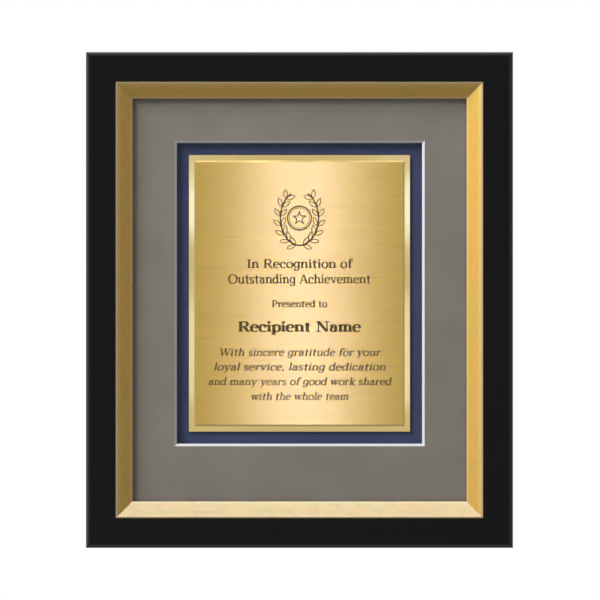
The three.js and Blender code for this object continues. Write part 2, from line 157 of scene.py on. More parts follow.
class Finish:
    """A node tree that ends in one shader. It makes nodes, and links or sets their sockets."""

    def __init__(self, owner, shader, output):
        owner.use_nodes = True
        self.owner = owner
        self.tree = owner.node_tree
        self.tree.nodes.clear()
        self.shader = self.tree.nodes.new(shader)
        end = self.tree.nodes.new(output)
        self.tree.links.new(self.shader.outputs[0], end.inputs["Surface"])

    def feed(self, node, sockets):
        for key, value in sockets.items():
            if isinstance(value, Value):
                self.tree.links.new(value.socket, node.inputs[key])
            else:
                node.inputs[key].default_value = value

    def node(self, kind, settings, sockets, output=0):
        """Adds a node: its settings first, then its sockets' values or links."""
        node = self.tree.nodes.new(kind)
        for key, value in settings.items():
            if key == "stops":
                ramp = node.color_ramp.elements
                while len(ramp) < len(value):
                    ramp.new(0.5)
                for stop, (position, colour) in zip(ramp, value):
                    stop.position = position
                    stop.color = colour
            else:
                setattr(node, key, value)
        self.feed(node, sockets)
        return Value(self, node.outputs[output])

    def set(self, sockets):
        self.feed(self.shader, sockets)

    def place(self, stretch=(1, 1, 1)):
        """The point on the piece, in metres, stretched along each axis."""
        point = self.node("ShaderNodeTexCoord", {}, {}, "Object")
        return self.node("ShaderNodeVectorMath", {"operation": "MULTIPLY"}, {0: point, 1: stretch})

    def axis(self, vector, name):
        return self.node("ShaderNodeSeparateXYZ", {}, {"Vector": vector}, name)

    def noise(self, scale, stretch=(1, 1, 1), detail=3, roughness=0.55, warp=0):
        sockets = {
            "Vector": self.place(stretch), "Scale": scale, "Detail": detail,
            "Roughness": roughness, "Distortion": warp,
        }
        return self.node("ShaderNodeTexNoise", {}, sockets)

    def cells(self, scale, stretch=(1, 1, 1)):
        sockets = {"Vector": self.place(stretch), "Scale": scale}
        return self.node("ShaderNodeTexVoronoi", {}, sockets, "Distance")

    def mix(self, share, first, second):
        """Blends two colours."""
        return self.node("ShaderNodeMix", {"data_type": "RGBA"}, {0: share, 6: first, 7: second}, 2)

    def relief(self, height, depth):
        """A bump whose height of 1 stands for a depth in mm."""
        return self.node("ShaderNodeBump", {}, {"Height": height, "Distance": depth * MM})


def paint(name):
    return Finish(bpy.data.materials.new(name), "ShaderNodeBsdfPrincipled", "ShaderNodeOutputMaterial")


def rgb(red, green, blue):
    return (red, green, blue, 1)


def along(axis, lengthwise, across):
    """A stretch for a pattern that runs along an axis."""
    return tuple(lengthwise if name == axis else across for name in "xyz")


def in_from_outside(finish, axis):
    """How far a point lies in from the plaque's outer edge, on the sides that run along an axis."""
    half, across = (half_height, "Z") if axis == "x" else (half_width, "X")
    reach = finish.axis(finish.place(), across)
    return half - reach.math("ABSOLUTE", reach)


def black_lacquer(axis):
    """Satin black lacquer over wood: faint pores and haze, and a greyer outer edge at the front, partly
    rubbed wear and partly a painted highlight on the rounding.
    """
    f = paint(f"black_lacquer_{axis}")
    pores = f.noise(900, along(axis, 0.05, 1), 4, 0.6).over(0.5, 0.72)
    orange_peel = f.noise(420, detail=2)
    haze = f.noise(28, along(axis, 0.4, 1), 4)
    film = f.mix(haze, rgb(0.0016, 0.0020, 0.0028), rgb(0.0030, 0.0033, 0.0042))
    # A greyer band round the front outer edge: partly wear, partly a painted highlight.
    outside = 1 - in_from_outside(f, axis).over(0.2 * MM, 4.2 * MM)
    forward = rail_back - f.axis(f.place(), "Y")
    wear_and_painted_highlight = outside * forward.over(rail_depth - 6 * MM, rail_depth - 2.4 * MM)
    f.set({
        "Base Color": f.mix(wear_and_painted_highlight, film, rgb(0.044, 0.045, 0.047)),
        "Roughness": haze * 0.10 + pores * 0.05 + 0.28,
        "Specular IOR Level": 0.13,
        "Normal": f.relief(orange_peel * 0.6 - pores * 0.5, 0.02),
    })
    return f.owner


def bare_wood(axis):
    """Pale, close-grained wood, as at the back of the rails."""
    f = paint(f"bare_wood_{axis}")
    bend = f.noise(9, along(axis, 0.3, 1), 2)
    rings = f.noise(260, along(axis, 0.035, 1), 3, 0.5, 0.6)
    pores = f.noise(1500, along(axis, 0.03, 1), 2).over(0.58, 0.74)
    pale = f.mix(bend, rgb(0.56, 0.40, 0.235), rgb(0.47, 0.315, 0.17))
    grain = f.mix(rings.over(0.35, 0.7), pale, rgb(0.38, 0.235, 0.115))
    f.set({
        "Base Color": f.mix(pores * 0.5, grain, rgb(0.2, 0.11, 0.05)),
        "Roughness": rings * 0.15 + 0.62,
        "Specular IOR Level": 0.3,
        "Normal": f.relief(rings - pores, 0.05),
    })
    return f.owner


def gilding(axis):
    """Metal leaf on the slips: mottled, softly brushed along its length, and paler by both edges, partly
    rubbed wear and partly a painted highlight.
    """
    f = paint(f"gilding_{axis}")
    clouds = f.noise(34, along(axis, 0.55, 1), 4, 0.6, 0.4)
    mottle = f.noise(190, along(axis, 0.5, 1), 4, 0.65)
    strokes = f.noise(1300, along(axis, 0.04, 1), 3, 0.6)
    flecks = f.noise(520, along(axis, 0.4, 1), 3, 0.7).over(0.63, 0.78)
    leaf = f.mix(clouds.over(0.3, 0.72), rgb(0.66, 0.372, 0.066), rgb(0.565, 0.390, 0.070))
    worn = f.mix(mottle.over(0.45, 0.8) * 0.45, leaf, rgb(0.46, 0.262, 0.046))
    outer, inner = from_edge("gold_slip_bottom")
    inward = in_from_outside(f, axis)
    # Paler bands by the nose and by the bead: partly wear, partly a painted highlight.
    by_nose = inward.over((inner - 3) * MM, (inner - 0.8) * MM)
    by_bead = 1 - inward.over((outer + 1.5) * MM, (outer + 6) * MM)
    wear_and_painted_highlight = (by_nose + by_bead) * (mottle * 0.6 + 0.3)
    pale = f.mix(wear_and_painted_highlight, worn, rgb(0.67, 0.51, 0.22))
    f.set({
        "Base Color": f.mix(flecks * 0.4, pale, rgb(0.34, 0.16, 0.05)),
        "Metallic": 0.9,
        "Roughness": mottle * 0.14 + strokes * 0.06 + flecks * 0.10 + 0.44,
        "Coat Weight": 1.0,
        "Coat Roughness": 0.2,
        "Normal": f.relief(mottle * 0.5 + strokes * 0.35 - flecks * 0.3, 0.05),
    })
    return f.owner


def burnished_leaf_painted_highlight(axis):
    """The smoother leaf on the slips' outer bead and nose, paler than the slope's leaf as a painted
    highlight.
    """
    f = paint(f"burnished_leaf_{axis}")
    clouds = f.noise(60, along(axis, 0.4, 1), 3)
    strokes = f.noise(1300, along(axis, 0.04, 1), 3)
    f.set({
        "Base Color": f.mix(clouds, rgb(0.70, 0.51, 0.27), rgb(0.62, 0.44, 0.21)),
        "Metallic": 0.85,
        "Roughness": strokes * 0.10 + 0.24,
        "Coat Weight": 0.4,
        "Coat Roughness": 0.2,
        "Normal": f.relief(clouds * 0.6 + strokes * 0.3, 0.03),
    })
    return f.owner


def mat_paper(name, dark, light, warmth):
    """Matt paper face of a mat board: soft clouds in its colour, fine fibres and a felt texture."""
    f = paint(name)
    clouds = f.noise(26, detail=4, roughness=0.6)
    felt = f.noise(900, detail=3, roughness=0.6)
    fibres = f.noise(1400, (1, 1, 0.16), 3, 0.6, 0.8).over(0.56, 0.78)
    tone = f.mix(clouds.over(0.25, 0.75), rgb(*dark), rgb(*light))
    f.set({
        "Base Color": f.mix(fibres * 0.22 + felt * 0.10, tone, rgb(*warmth)),
        "Roughness": felt * 0.1 + 0.84,
        "Specular IOR Level": 0.2,
        "Normal": f.relief(felt + fibres * 0.5, 0.045),
    })
    return f.owner


def board_core():
    """White core of the mat board where the window is cut."""
    f = paint("board_core")
    layers = f.noise(2600, detail=2)
    f.set({
        "Base Color": f.mix(layers, rgb(0.61, 0.62, 0.645), rgb(0.69, 0.70, 0.725)),
        "Roughness": 0.9,
        "Specular IOR Level": 0.2,
        "Normal": f.relief(layers, 0.02),
    })
    return f.owner


def polished_brass():
    """Lacquered mirror brass of the plate's border, with the slight waviness of buffed sheet."""
    f = paint("polished_brass")
    waves = f.noise(17, detail=1, roughness=0.4)
    swirls = f.noise(900, roughness=0.6, warp=1.2)
    f.set({
        "Base Color": f.mix(waves, rgb(0.94, 0.70, 0.27), rgb(0.88, 0.64, 0.23)),
        "Metallic": 1.0,
        "Roughness": swirls * 0.08 + 0.10,
        "Coat Weight": 0.25,
        "Coat Roughness": 0.08,
        "Normal": f.relief(waves, 0.9),
    })
    return f.owner


def brushed_brass():
    """Brass brushed from side to side, which spreads every highlight up and down."""
    f = paint("brushed_brass")
    lines = f.noise(1500, (0.012, 1, 1), 3, 0.65)
    bands = f.noise(360, (0.02, 1, 1), 3, 0.6)
    streaks = f.noise(620, (0.022, 1, 1), 3, 0.6).over(0.54, 0.76)
    tone = f.mix(bands.over(0.3, 0.7), rgb(0.530, 0.325, 0.006), rgb(0.480, 0.288, 0.004))
    f.set({
        "Base Color": f.mix(streaks * 0.22, tone, rgb(0.62, 0.40, 0.03)),
        "Metallic": 0.6,
        "Specular IOR Level": 0.1,
        "Roughness": lines * 0.08 + bands * 0.06 + 0.22,
        "Anisotropic": 0.95,
        "Anisotropic Rotation": 0.25,
        "Coat Weight": 1.0,
        "Coat Roughness": 0.15,
        "Coat IOR": 1.45,
        "Normal": f.relief(lines * 0.6 + bands * 0.4, 0.012),
    })
    return f.owner


def oxidised_fill():
    """Dark brown oxide in the engraved letters."""
    f = paint("oxidised_fill")
    patches = f.noise(700, detail=3)
    f.set({
        "Base Color": f.mix(patches, rgb(0.085, 0.056, 0.010), rgb(0.150, 0.100, 0.020)),
        "Metallic": 0.3,
        "Roughness": patches * 0.2 + 0.45,
        "Normal": f.relief(patches, 0.01),
    })
    return f.owner


def picture_glass():
    """Clear glass, seen straight through."""
    f = paint("picture_glass")
    f.set({
        "Base Color": rgb(0.02, 0.024, 0.022),
        "Roughness": 0.02,
        "IOR": 1.52,
        "Specular IOR Level": 0.9,
        "Alpha": 0.06,
    })
    return f.owner


def hardboard():
    """Smooth brown hardboard: pressed fibres with darker specks."""
    f = paint("hardboard")
    clouds = f.noise(14, detail=4, roughness=0.6)
    fibres = f.noise(520, detail=4, roughness=0.7, warp=1.4)
    specks = f.noise(1500, detail=2).over(0.62, 0.76)
    tone = f.mix(clouds.over(0.3, 0.7), rgb(0.215, 0.118, 0.055), rgb(0.29, 0.168, 0.082))
    board = f.mix(fibres.over(0.4, 0.75) * 0.6, tone, rgb(0.40, 0.25, 0.13))
    f.set({
        "Base Color": f.mix(specks * 0.6, board, rgb(0.09, 0.045, 0.02)),
        "Roughness": fibres * 0.2 + 0.55,
        "Specular IOR Level": 0.35,
        "Normal": f.relief(fibres + specks * 0.3, 0.06),
    })
    return f.owner


def zinc_plate():
    """Bright zinc on stamped and turned steel, with soft tumbling marks."""
    f = paint("zinc_plate")
    bloom = f.noise(120, detail=4, roughness=0.6)
    marks = f.noise(1600, (1, 1, 0.2), 3, 0.6)
    f.set({
        "Base Color": f.mix(bloom, rgb(0.60, 0.615, 0.63), rgb(0.74, 0.745, 0.74)),
        "Metallic": 1.0,
        "Roughness": bloom * 0.14 + marks * 0.08 + 0.20,
        "Normal": f.relief(bloom * 0.4 + marks * 0.4, 0.02),
    })
    return f.owner


def black_rubber():
    f = paint("black_rubber")
    grain = f.noise(1300, detail=3)
    bloom = f.noise(160, detail=3)
    f.set({
        "Base Color": f.mix(bloom, rgb(0.016, 0.016, 0.017), rgb(0.034, 0.034, 0.035)),
        "Roughness": bloom * 0.12 + 0.66,
        "Specular IOR Level": 0.4,
        "Normal": f.relief(grain, 0.03),
    })
    return f.owner


def white_foam():
    """Closed-cell foam of the spacers and the mounting tape."""
    f = paint("white_foam")
    bubbles = f.cells(1500)
    f.set({
        "Base Color": f.mix(bubbles, rgb(0.82, 0.82, 0.80), rgb(0.92, 0.92, 0.91)),
        "Roughness": 0.9,
        "Specular IOR Level": 0.25,
        "Normal": f.relief(bubbles, 0.08),
    })
    return f.owner


LACQUER = {axis: black_lacquer(axis) for axis in "xz"}
BARE_WOOD = {axis: bare_wood(axis) for axis in "xz"}
GILDING = {axis: gilding(axis) for axis in "xz"}
# Paler leaf for the slips' bead and nose: a painted highlight.
BURNISHED_PAINTED_HIGHLIGHT = {axis: burnished_leaf_painted_highlight(axis) for axis in "xz"}
TAUPE_PAPER = mat_paper("taupe_paper", (0.203, 0.183, 0.152), (0.234, 0.212, 0.177), (0.296, 0.266, 0.222))
NAVY_PAPER = mat_paper("navy_paper", (0.036, 0.050, 0.126), (0.045, 0.062, 0.148), (0.070, 0.088, 0.19))
BOARD_CORE = board_core()
POLISHED_BRASS = polished_brass()
BRUSHED_BRASS = brushed_brass()
OXIDE = oxidised_fill()
GLASS = picture_glass()
HARDBOARD = hardboard()
ZINC = zinc_plate()
RUBBER = black_rubber()
FOAM = white_foam()

# ---- Making pieces ----


def shading_normals(mesh, crease):
    """A normal for each face corner: its near-level neighbours', weighted by area, so flats stay flat."""
    limit = math.cos(math.radians(crease))
    weighted = {face: face.normal * face.calc_area() for face in mesh.faces}
    normals = []
    for face in mesh.faces:
        for corner in face.loops:
            near = [f for f in corner.vert.link_faces if f.normal.dot(face.normal) > limit]
            normals.append(sum((weighted[f] for f in near), Vector()).normalized())
    return normals


def into_scene(name, mesh, finishes):
    """Makes an object from a bmesh, which it frees."""
    data = bpy.data.meshes.new(name)
    mesh.to_mesh(data)
    mesh.free()
    for finish in finishes:
        data.materials.append(finish)
    made = bpy.data.objects.new(name, data)
    bpy.context.scene.collection.objects.link(made)
    return made


def piece(name, mesh, finishes, body="root", stands_for=(), crease=32):
    """Makes a piece from a bmesh, shades it smooth below the crease angle, and ties it to its body."""
    bmesh.ops.recalc_face_normals(mesh, faces=mesh.faces)
    mesh.normal_update()
    for face in mesh.faces:
        face.smooth = True
    normals = shading_normals(mesh, crease)
    made = into_scene(name, mesh, finishes)
    made.data.normals_split_custom_set(normals)
    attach(made, body)
    if stands_for:
        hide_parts(*stands_for)
    return made


def arc(centre, radius, start, end, steps):
    """Points on an arc in mm, both ends included; the angles are in degrees."""
    angles = (math.radians(start + (end - start) * i / steps) for i in range(steps + 1))
    return [(centre[0] + radius * math.cos(a), centre[1] + radius * math.sin(a)) for a in angles]


def on_side(side, reach, inward, forward):
    """A point of one side of the frame: along it, in from its outer edge and forward from its back."""
    y = rail_back - forward
    if side == "bottom":
        return (reach, y, inward - half_height)
    if side == "top":
        return (reach, y, half_height - inward)
    if side == "left":
        return (inward - half_width, y, reach)
    return (half_width - inward, y, reach)


def run_moulding(side, profile):
    """A closed bmesh of a profile, (inward, forward) in mm, run along one side between its mitres."""
    half_span = half_width if side in ("bottom", "top") else half_height
    mesh = bmesh.new()
    ends = []
    for end in (-1, 1):
        ring = []
        for inward, forward in profile:
            reach = end * (half_span - (inward + MITRE_SEAM) * MM)
            ring.append(mesh.verts.new(on_side(side, reach, inward * MM, forward * MM)))
        mesh.faces.new(ring)
        ends.append(ring)
    count = len(profile)
    for i in range(count):
        j = (i + 1) % count
        mesh.faces.new((ends[0][i], ends[0][j], ends[1][j], ends[1][i]))
    return mesh


def cleaned(node):
    """A bmesh of a frame node's shape, with its flat faces whole again."""
    mesh = bmesh.new()
    mesh.from_mesh(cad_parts[node].data)
    bmesh.ops.remove_doubles(mesh, verts=mesh.verts, dist=0.001 * MM)
    bmesh.ops.dissolve_limit(mesh, angle_limit=math.radians(1), verts=mesh.verts, edges=mesh.edges)
    return mesh


def nail_slots():
    """The solid to cut for the corner nails: a little larger than they are, and open at the back."""
    slots = bmesh.new()
    for nail in NAILS:
        mesh = cleaned(f"corner_nail_{nail}")
        mesh.normal_update()
        grown = [(v, v.normal * v.calc_shell_factor() * NAIL_CLEARANCE * MM) for v in mesh.verts]
        middle = sum((v.co for v in mesh.verts), Vector()).y / len(mesh.verts)
        for vert, step in grown:
            vert.co += step
            if vert.co.y > middle:
                vert.co.y = rail_back + MM
        for face in mesh.faces:
            face.material_index = 1
        data = bpy.data.meshes.new("slot")
        mesh.to_mesh(data)
        mesh.free()
        slots.from_mesh(data)
        bpy.data.meshes.remove(data)
    return slots


def cut(mesh, cutter, finishes):
    """Takes a cutter's solid out of a bmesh."""
    whole = into_scene("whole", mesh, finishes)
    tool = into_scene("tool", cutter, finishes)
    modifier = whole.modifiers.new("cut", "BOOLEAN")
    modifier.object = tool
    modifier.solver = "EXACT"
    result = bmesh.new()
    result.from_object(whole, bpy.context.evaluated_depsgraph_get())
    for made in (whole, tool):
        data = made.data
        bpy.data.objects.remove(made)
        bpy.data.meshes.remove(data)
    return result


def side_axis(side):
    return "x" if side in ("bottom", "top") else "z"


def rail(side):
    """A black rail: rounded outside, square to the slip, with bare wood at the back and in the rebate."""
    rebate = from_edge("bottom_rail")[1]
    front = from_back("bottom_rail")[1]
    black_face = from_edge("gold_slip_bottom")[0] - SLIP_GAP
    shoulder = from_back("gold_slip_bottom")[0] - SLIP_GAP
    ease = BACK_EASE
    profile = (
        arc((ease, ease), ease, 270, 180, 3)
        + arc((OUTER_ROUND, front - OUTER_ROUND), OUTER_ROUND, 180, 90, 10)
        + arc((black_face - INNER_ARRIS, front - INNER_ARRIS), INNER_ARRIS, 90, 0, 3)
        + [(black_face, shoulder), (rebate, shoulder)]
        + arc((rebate - ease, ease), ease, 0, -90, 3)
    )
    mesh = run_moulding(side, profile)
    mesh.normal_update()
    bmesh.ops.recalc_face_normals(mesh, faces=mesh.faces)
    bare_from = rail_back - (shoulder + 0.5) * MM
    for face in mesh.faces:
        middle = face.calc_center_median()
        inner = max(abs(middle.x) - half_width, abs(middle.z) - half_height) < -REBATE_ZONE * MM
        is_end = len(face.verts) > 4
        if face.normal.y > 0.8 or is_end or (inner and middle.y > bare_from):
            face.material_index = 1
    axis = side_axis(side)
    finishes = (LACQUER[axis], BARE_WOOD[axis])
    return piece(f"rail_{side}", cut(mesh, nail_slots(), finishes), finishes,
                 stands_for=(f"{side}_rail",))


def gold_slip(side):
    """A gilded slip: a bead outside, and a long slope down to a burnished nose at the sight edge; the bead
    and the nose take paler leaf, a painted highlight.
    """
    outer, inner = from_edge("gold_slip_bottom")
    back, crest = from_back("gold_slip_bottom")
    glass_front = from_back("glazing")[1]
    nose_height = glass_front + GLASS_GAP + SLIP_LIP
    bead_end = (outer + BEAD_WIDTH, crest - BEAD_FALL)
    bead = arc((outer + BEAD_ARRIS, crest - BEAD_ARRIS), BEAD_ARRIS, 180, 76, 4) + [bead_end]
    nose = arc((inner - SLIP_NOSE, nose_height - SLIP_NOSE), SLIP_NOSE, 58, 0, 6)
    profile = [(outer, back)] + bead + nose + [(inner, back)]
    mesh = run_moulding(side, profile)
    bead_edge = rail_back - bead_end[1] * MM
    nose_start = rail_back - nose[0][1] * MM
    for face in mesh.faces:
        depths = [v.co.y for v in face.verts]
        on_bead = max(depths) < bead_edge + 0.02 * MM
        on_nose = min(depths) > nose_start - 0.02 * MM
        # Bead and nose faces take the paler leaf, a painted highlight.
        if len(depths) == 4 and (on_bead or on_nose):
            face.material_index = 1
    axis = side_axis(side)
    return piece(f"slip_{side}", mesh, (GILDING[axis], BURNISHED_PAINTED_HIGHLIGHT[axis]),
                 stands_for=(f"gold_slip_{side}",))


def rectangle_ring(mesh, x, z, middle_z, y):
    """Four corners of an upright rectangle, by its half sizes."""
    corners = ((-x, -z), (x, -z), (x, z), (-x, z))
    return [mesh.verts.new((cx, y, cz + middle_z)) for cx, cz in corners]


def join_rings(mesh, first, second, finish=0):
    for i in range(len(first)):
        j = (i + 1) % len(first)
        face = mesh.faces.new((first[i], first[j], second[j], second[i]))
        face.material_index = finish


def top_mat():
    """The taupe mat, with its window cut at 45 degrees through the white core."""
    low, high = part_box("top_mat")
    plate_low, plate_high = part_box("plate_base")
    middle = (plate_low.z + plate_high.z) / 2
    x = (plate_high.x - plate_low.x) / 2 + NAVY_REVEAL * MM
    z = (plate_high.z - plate_low.z) / 2 + NAVY_REVEAL * MM
    thick = high.y - low.y
    mesh = bmesh.new()
    front = rectangle_ring(mesh, high.x, high.z, 0, low.y)
    back = rectangle_ring(mesh, high.x, high.z, 0, high.y)
    window_front = rectangle_ring(mesh, x + thick, z + thick, middle, low.y)
    window_back = rectangle_ring(mesh, x, z, middle, high.y)
    join_rings(mesh, front, window_front)
    join_rings(mesh, window_front, window_back, 1)
    join_rings(mesh, window_back, back, 1)
    join_rings(mesh, back, front, 1)
    return piece("taupe_mat", mesh, (TAUPE_PAPER, BOARD_CORE), stands_for=("top_mat",))


def engraved_plate():
    """The brushed plate, with a bright chamfer round its front."""
    low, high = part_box("engraved_plate")
    middle = (low.z + high.z) / 2
    x, z = high.x, (high.z - low.z) / 2
    chamfer = ENGRAVED_CHAMFER * MM
    mesh = bmesh.new()
    back = rectangle_ring(mesh, x, z, middle, high.y)
    edge = rectangle_ring(mesh, x, z, middle, low.y + CHAMFER_DEPTH * MM)
    front = rectangle_ring(mesh, x - chamfer, z - chamfer, middle, low.y)
    mesh.faces.new(back)
    join_rings(mesh, back, edge, 1)
    join_rings(mesh, edge, front, 1)
    mesh.faces.new(front)
    return piece("engraved_sheet", mesh, (BRUSHED_BRASS, POLISHED_BRASS),
                 stands_for=("engraved_plate",), crease=10)


def eased(node, name, finish, ease, body="root", steps=2):
    """A copy of a frame node's shape with its edges rounded by `ease` mm."""
    mesh = cleaned(node)
    crisp = [e for e in mesh.edges if e.calc_face_angle(0) > math.radians(32)]
    bmesh.ops.bevel(mesh, geom=crisp, offset=ease * MM, offset_type="OFFSET", segments=steps,
                    profile=0.5, affect="EDGES", clamp_overlap=True)
    for face in mesh.faces:
        face.material_index = 0
    return piece(name, mesh, (finish,), body, (node,), crease=50)


def ring_outline():
    """The D-ring's centreline in mm: its straight bar lies on x = 0 and the bow reaches to +x."""
    half, corner = RING_HALF_WIDTH, RING_CORNER
    upper = arc((corner, half - corner), corner, 180, 90, 8) + arc((RING_LEG, 0), half, 90, 0, 20)
    lower = [(x, -z) for x, z in reversed(upper[:-1])]
    return upper + lower


def d_ring(side):
    """A bent steel wire ring, closed through the loop of its strap."""
    node = f"hanger_ring_{side}"
    low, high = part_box(node)
    inward = 1 if side == "left" else -1
    bar = (low.x if side == "left" else high.x) + inward * RING_WIRE * MM
    y = (low.y + high.y) / 2
    middle = (low.z + high.z) / 2
    line = [Vector((bar + inward * x * MM, y, middle + z * MM)) for x, z in ring_outline()]
    mesh = bmesh.new()
    loops = []
    sides = 16
    for i, point in enumerate(line):
        run = (line[(i + 1) % len(line)] - line[i - 1]).normalized()
        out = run.cross(Vector((0, 1, 0))).normalized()
        loop = []
        for k in range(sides):
            turn = 2 * math.pi * k / sides
            spoke = out * math.cos(turn) + Vector((0, 1, 0)) * math.sin(turn)
            loop.append(mesh.verts.new(point + spoke * RING_WIRE * MM))
        loops.append(loop)
    for i in range(len(loops)):
        join_rings(mesh, loops[i - 1], loops[i])
    return piece(f"d_ring_{side}", mesh, (ZINC,), f"ring_{side}", (node,))


def bumper(side):
    """A moulded rubber foot with rounded shoulders and a shallow dish in its end."""
    node = f"wall_bumper_{side}"
    low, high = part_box(node)
    middle = (low + high) / 2
    radius = (high.z - low.z) / 2 / MM
    height = (high.y - low.y) / MM
    profile = (
        [(0, 0)] + arc((radius - FOOT_EASE, FOOT_EASE), FOOT_EASE, -90, 0, 4)
        + arc((radius - SHOULDER_INSET, height - SHOULDER_ROUND), SHOULDER_ROUND, 20, 90, 6)
        + [(DISH_RIM, height), (DISH_FLOOR, height - DISH_DEPTH), (0, height - DISH_DEPTH)]
    )
    steps = 40
    mesh = bmesh.new()
    foot, tip = (mesh.verts.new((middle.x, low.y + up * MM, middle.z)) for _, up in (profile[0], profile[-1]))
    loops = []
    for out, up in profile[1:-1]:
        loop = []
        for k in range(steps):
            turn = 2 * math.pi * k / steps
            x, z = out * MM * math.cos(turn), out * MM * math.sin(turn)
            loop.append(mesh.verts.new((middle.x + x, low.y + up * MM, middle.z + z)))
        loops.append(loop)
    for first, second in zip(loops, loops[1:]):
        join_rings(mesh, first, second)
    for centre, loop in ((foot, loops[0]), (tip, loops[-1])):
        for k in range(steps):
            mesh.faces.new((centre, loop[k], loop[(k + 1) % steps]))
    return piece(f"rubber_foot_{side}", mesh, (RUBBER,), stands_for=(node,))


# ---- Lettering and emblem ----

CAP_HEIGHT = 0.68  # of the letter size
SERIF_REACH = 0.045  # past the stem
INLAY_PROUD = 0.03
INLAY_SUNK = 0.05

EMBLEM_MIDDLE = 69  # above the plate's middle
BOLD_LINE = 1.3
FINE_LINE = 0.6
OUTER_RING = 11
INNER_RING = 9.3
WREATH_HALF_WIDTH = 17.5
WREATH_HALF_HEIGHT = 25
STALK_START = -100  # degrees
STALK_SWEEP = 165
STALK_STEPS = 24
LEAF_EVERY = 3  # steps
LEAF_LENGTH = 9.5
LEAF_WIDTH = 4.2
LEAF_LINE = 0.9025  # from a leaf's outer edge to its inner one
LEAF_SPREAD = 38  # degrees to each side of the stalk
STAR_RADIUS = 7.4
STAR_NOTCH = 3.0
STAR_INSIDE = 0.62  # the band's inner edge, as a share of its outer one


class Pen:
    """Draws strokes as strips, two rails of points each. Upright runs are thick and level ones thin."""

    def __init__(self, thick, thin):
        self.thick = thick
        self.thin = thin

    def stroke(self, points, weight="pen", closed=False):
        left, right = [], []
        last = len(points) - 1
        for i, (x, y) in enumerate(points):
            if closed:
                before, after = points[i - 1], points[(i + 1) % len(points)]
            else:
                before, after = points[max(i - 1, 0)], points[min(i + 1, last)]
            run = Vector((after[0] - before[0], after[1] - before[1])).normalized()
            share = {"thick": 1.0, "thin": 0.0}.get(weight, abs(run.y) ** 1.4)
            half = (self.thin + (self.thick - self.thin) * share) / 2
            left.append((x - run.y * half, y + run.x * half))
            right.append((x + run.y * half, y - run.x * half))
        return (left, right, closed)

    def line(self, x0, y0, x1, y1, weight="pen"):
        return [self.stroke([(x0, y0), (x1, y1)], weight)]

    def curve(self, x, y, rx, ry, start, end):
        steps = max(6, round(abs(end - start) / 15))
        closed = abs(end - start) >= 360
        angles = [math.radians(start + (end - start) * i / steps) for i in range(steps + (not closed))]
        return [self.stroke([(x + rx * math.cos(a), y + ry * math.sin(a)) for a in angles], closed=closed)]

    def bar(self, x, y, left=1.0, right=1.0):
        """A level serif across x, with its arms' lengths as shares."""
        reach = self.thick / 2 + SERIF_REACH
        return self.line(x - reach * left, y, x + reach * right, y, "thin")

    def stem(self, x, low, high, foot=(1, 1), head=None):
        """An upright with a foot serif, and a flag, or a level serif, at its head."""
        strokes = self.line(x, low, x, high)
        if foot:
            strokes += self.bar(x, low + self.thin / 2, *foot)
        if head == "flag":
            tip = x - self.thick / 2 - 0.05
            strokes += self.line(tip, high - 0.035, x, high - self.thin / 2 + 0.005, "thin")
        elif head:
            strokes += self.bar(x, high - self.thin / 2, *head)
        return strokes

    def ball(self, x, y):
        radius = self.thick * 0.56
        across = [-1, -0.75, -0.3, 0.3, 0.75, 1]
        rise = [0.25, 0.75, 1, 1, 0.75, 0.25]
        left = [(x + radius * a, y + radius * r) for a, r in zip(across, rise)]
        right = [(x + radius * a, y - radius * r) for a, r in zip(across, rise)]
        return [(left, right, False)]


def letter_a(p):
    return (p.line(0.33, 0.07, 0.33, 0.33) + p.curve(0.21, 0.33, 0.12, 0.125, 0, 150) + p.ball(0.115, 0.375)
            + p.curve(0.195, 0.135, 0.125, 0.128, 65, 330) + p.line(0.24, 0.262, 0.33, 0.285, "thin")
            + p.curve(0.385, 0.07, 0.055, 0.055, 180, 285))


def letter_d(p):
    return p.curve(0.225, 0.235, 0.165, 0.235, 35, 325) + p.stem(0.385, 0, 0.73, (0, 1), "flag")


def letter_f(p):
    return (p.stem(0.15, 0, 0.56) + p.curve(0.255, 0.56, 0.105, 0.14, 180, 50) + p.ball(0.335, 0.645)
            + p.line(0.02, 0.45, 0.34, 0.45, "thin"))


def letter_g(p):
    return (p.curve(0.215, 0.255, 0.155, 0.215, 35, 325) + p.line(0.37, 0.45, 0.37, -0.06)
            + p.line(0.33, 0.452, 0.45, 0.452, "thin") + p.curve(0.215, -0.06, 0.155, 0.13, 0, -140)
            + p.ball(0.09, -0.125))


def letter_h(p):
    return (p.stem(0.12, 0, 0.73, (1, 1), "flag") + p.curve(0.265, 0.30, 0.145, 0.165, 165, 0)
            + p.stem(0.41, 0, 0.31))


def letter_k(p):
    return (p.stem(0.12, 0, 0.73, (1, 1), "flag") + p.line(0.15, 0.19, 0.36, 0.45, "thin")
            + p.bar(0.37, 0.453) + p.line(0.23, 0.28, 0.42, 0.01, "thick") + p.bar(0.43, 0.017))


def letter_m(p):
    return (p.stem(0.12, 0, 0.47, (1, 1), "flag") + p.curve(0.25, 0.30, 0.13, 0.165, 165, 0)
            + p.stem(0.38, 0, 0.31) + p.curve(0.51, 0.30, 0.13, 0.165, 165, 0) + p.stem(0.64, 0, 0.31))


def letter_n(p):
    return (p.stem(0.12, 0, 0.47, (1, 1), "flag") + p.curve(0.265, 0.30, 0.145, 0.165, 165, 0)
            + p.stem(0.41, 0, 0.31))


def letter_p(p):
    return p.stem(0.12, -0.21, 0.47, (1, 1), "flag") + p.curve(0.28, 0.235, 0.165, 0.235, 145, -145)


def letter_s(p):
    return (p.curve(0.185, 0.345, 0.115, 0.12, 35, 250) + p.curve(0.185, 0.125, 0.125, 0.12, 70, -145)
            + p.line(0.145, 0.235, 0.23, 0.235, "thick") + p.line(0.285, 0.46, 0.285, 0.37, "thin")
            + p.line(0.075, 0.01, 0.075, 0.11, "thin"))


